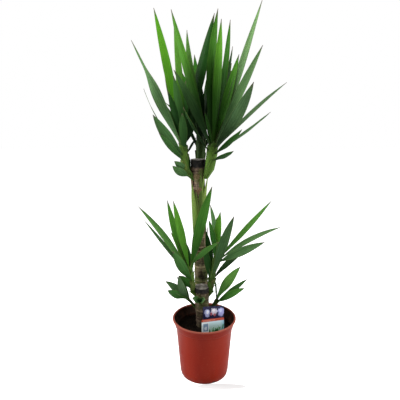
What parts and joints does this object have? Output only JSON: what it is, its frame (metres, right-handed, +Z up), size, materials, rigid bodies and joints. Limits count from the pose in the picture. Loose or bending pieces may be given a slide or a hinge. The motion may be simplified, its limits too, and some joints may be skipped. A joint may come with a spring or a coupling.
{
  "type": "potted yucca plant",
  "caption": "Indoor yucca with two sawn canes, five leafy crowns and basal shoots, standing in a round terracotta coloured plastic nursery pot with two plant cards.",
  "frame": {"origin": "middle of the pot's underside, on the floor", "axes": "+Z up along the pot's axis; -Y is the front, the side the picture shows; +X is to the viewer's right"},
  "size_m": [0.4183, 0.3509, 1.0684],
  "materials": {
    "pot": "satin terracotta red, moulded",
    "soil": "rough dark peat",
    "bark": "rough grey-brown bark",
    "wax": "dark wax seal, satin",
    "leaf": "satin green leaf",
    "card_front": "printed plastic card",
    "card_back": "printed plastic card"
  },
  "bodies": {
    "root": {"pot": "pot", "soil": "soil", "cane_tall": "bark", "cane_short": "bark", "wax_tall": "wax", "wax_short": "wax", "crown_left": "leaf", "crown_right": "leaf", "crown_back": "leaf", "crown_low_left": "leaf", "crown_low_right": "leaf", "shoot_foot_left": "leaf", "shoot_foot_right": "leaf", "bud_front": "leaf", "label_front": "card_front", "label_back": "card_back"}
  },
  "joints": []
}
